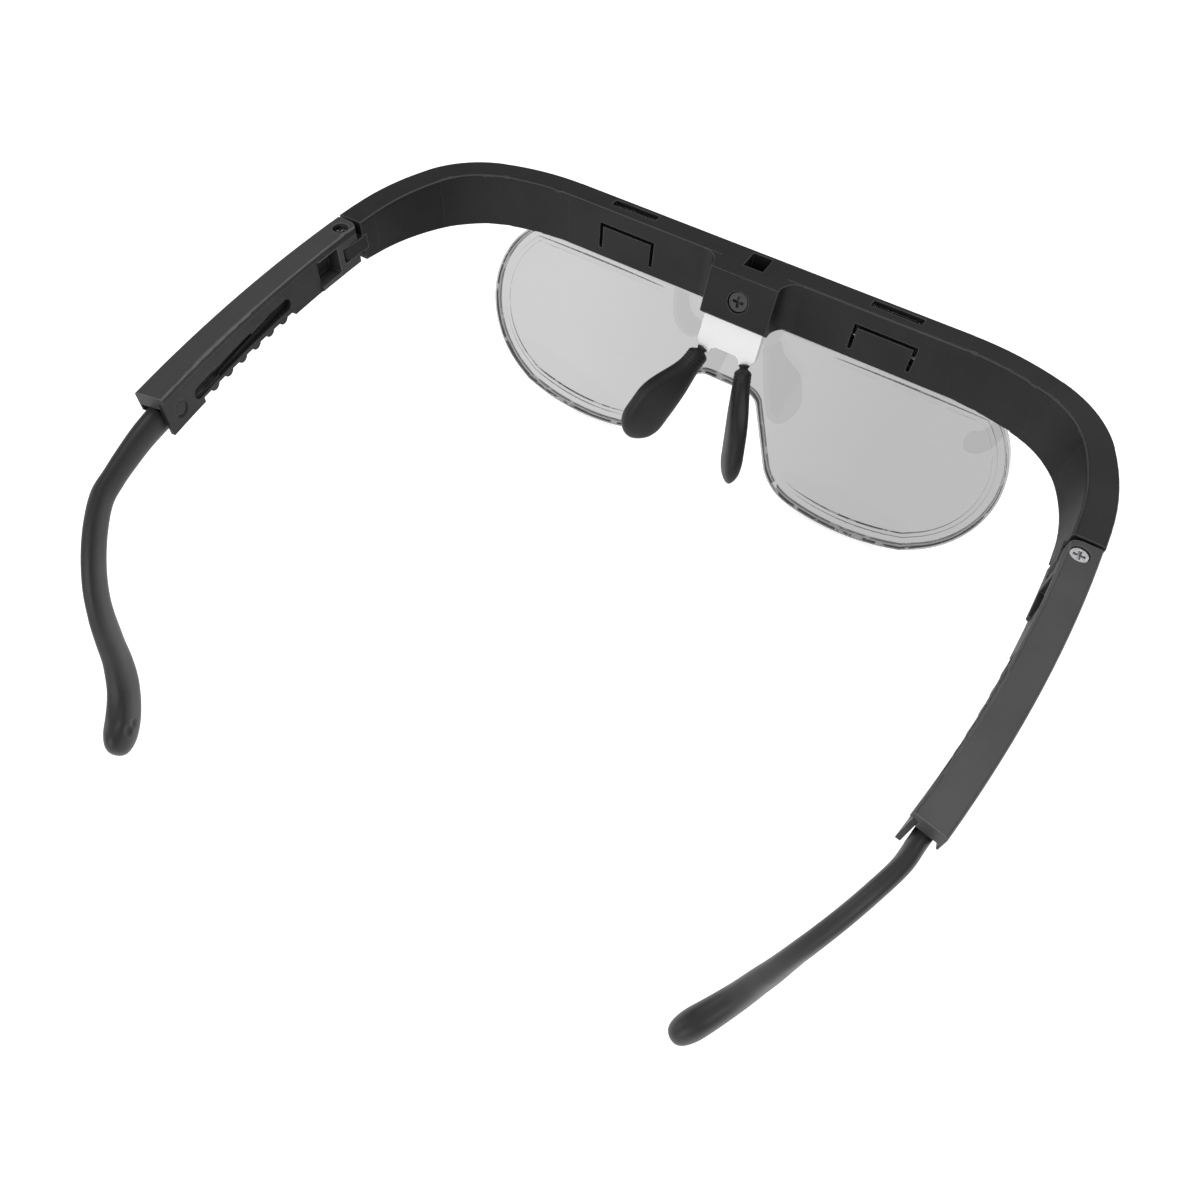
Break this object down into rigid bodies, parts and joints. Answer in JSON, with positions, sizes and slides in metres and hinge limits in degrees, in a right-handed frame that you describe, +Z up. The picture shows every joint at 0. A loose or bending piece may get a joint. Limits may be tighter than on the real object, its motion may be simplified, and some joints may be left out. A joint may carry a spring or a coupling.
{
  "type": "headband magnifier",
  "caption": "Spectacle-style head magnifier: wrap-round brow bar, leaning double lens, nose pads, folding temples with a notched slide for the arm length and curved ear hooks.",
  "frame": {"origin": "under the middle of the overall box, on the table that the lens edges stand on", "axes": "+X to the wearer's left, across both temples; +Y to the wearer's back, along the temples; +Z up"},
  "size_m": [0.1548, 0.1406, 0.0515],
  "materials": {
    "front_plastic": "fine satin black moulding",
    "clear_plastic": "polished clear acrylic",
    "frosted_plastic": "milky clear moulding",
    "black_screw": "black oxide",
    "silicone": "soft matt black",
    "temple_plastic": "satin dark grey moulding",
    "plated_screw": "bright plated",
    "insert_brass": "turned",
    "arm_plastic": "satin black moulding",
    "sleeve_rubber": "smooth soft black"
  },
  "bodies": {
    "front": {"brow_bar": "front_plastic", "nose_bracket": "frosted_plastic", "bracket_screw": "black_screw", "nose_pad_left": "silicone", "nose_pad_right": "silicone"},
    "lens": {"magnifier_lens": "clear_plastic"},
    "temple_left": {"temple_housing_left": "temple_plastic", "rack_cover_left": "temple_plastic", "hinge_screw_left": "plated_screw", "hinge_insert_left": "insert_brass"},
    "temple_right": {"temple_housing_right": "temple_plastic", "rack_cover_right": "temple_plastic", "hinge_screw_right": "plated_screw", "hinge_insert_right": "insert_brass"},
    "arm_left": {"temple_arm_left": "arm_plastic", "ear_sleeve_left": "sleeve_rubber"},
    "arm_right": {"temple_arm_right": "arm_plastic", "ear_sleeve_right": "sleeve_rubber"}
  },
  "joints": [
    {"name": "lens_release", "type": "slide", "parent": "front", "child": "lens", "axis": [0, 0, -1], "range_m": [0, 0.013]},
    {"name": "fold_left", "type": "hinge", "parent": "front", "child": "temple_left", "pos_m": [0.074, -0.0275, 0.04706], "axis": [0, 0, 1], "range_deg": [0, 85]},
    {"name": "fold_right", "type": "hinge", "parent": "front", "child": "temple_right", "pos_m": [-0.074, -0.0275, 0.04706], "axis": [0, 0, -1], "range_deg": [0, 80]},
    {"name": "extend_left", "type": "slide", "parent": "temple_left", "child": "arm_left", "axis": [-0.1561, 0.9857, -0.0628], "range_m": [-0.01245, 0.01245]},
    {"name": "extend_right", "type": "slide", "parent": "temple_right", "child": "arm_right", "axis": [0.1406, 0.9881, -0.0628], "range_m": [0, 0.0249]}
  ]
}
